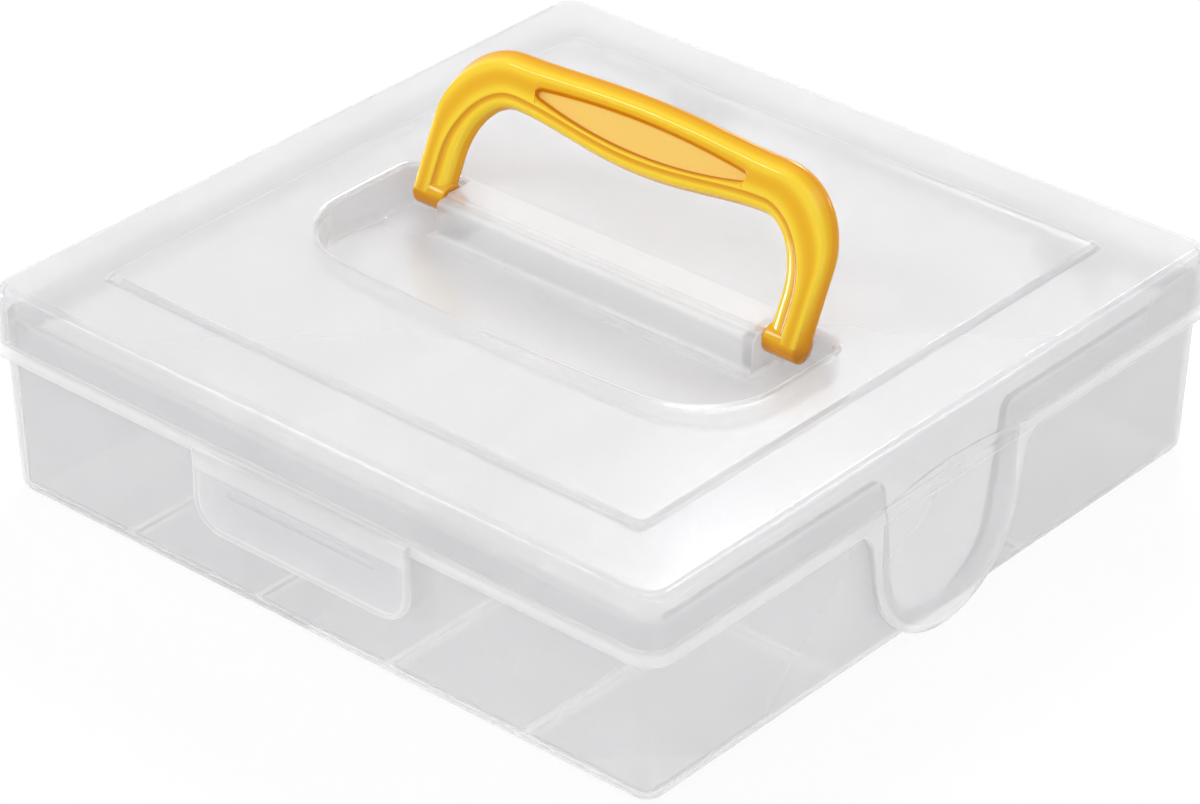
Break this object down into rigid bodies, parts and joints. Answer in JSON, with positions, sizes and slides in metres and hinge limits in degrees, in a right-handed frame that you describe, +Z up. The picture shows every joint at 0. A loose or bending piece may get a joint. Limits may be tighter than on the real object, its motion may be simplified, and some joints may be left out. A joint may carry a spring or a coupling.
{
  "type": "paper storage case",
  "caption": "Square translucent case for craft paper sheets, with a rear-hinged skirted lid, a front latch flap and a swing-up carrying handle that folds into the lid.",
  "frame": {"origin": "centre of the case's flat base, on the surface it stands on", "axes": "+Z up, -Y towards the front latch, +X towards the side with the finger cut-out"},
  "size_m": [0.18, 0.1874, 0.0811],
  "materials": {
    "frosted_plastic": "translucent, slightly frosted",
    "yellow_plastic": "glossy"
  },
  "bodies": {
    "case_body": {"storage_tray": "frosted_plastic"},
    "lid_body": {"lid": "frosted_plastic"},
    "handle_body": {"carry_handle": "yellow_plastic"},
    "latch_body": {"front_latch": "frosted_plastic"}
  },
  "joints": [
    {"name": "lid_hinge", "type": "hinge", "parent": "case_body", "child": "lid_body", "pos_m": [0, 0.0927, 0.0301], "axis": [-1, 0, 0], "range_deg": [0, 110]},
    {"name": "handle_pivot", "type": "hinge", "parent": "lid_body", "child": "handle_body", "pos_m": [0, 0.0004, 0.0485], "axis": [1, 0, 0], "range_deg": [0, 115]},
    {"name": "latch_hinge", "type": "hinge", "parent": "lid_body", "child": "latch_body", "pos_m": [0, -0.0914, 0.03355], "axis": [-1, 0, 0], "range_deg": [0, 110]}
  ]
}
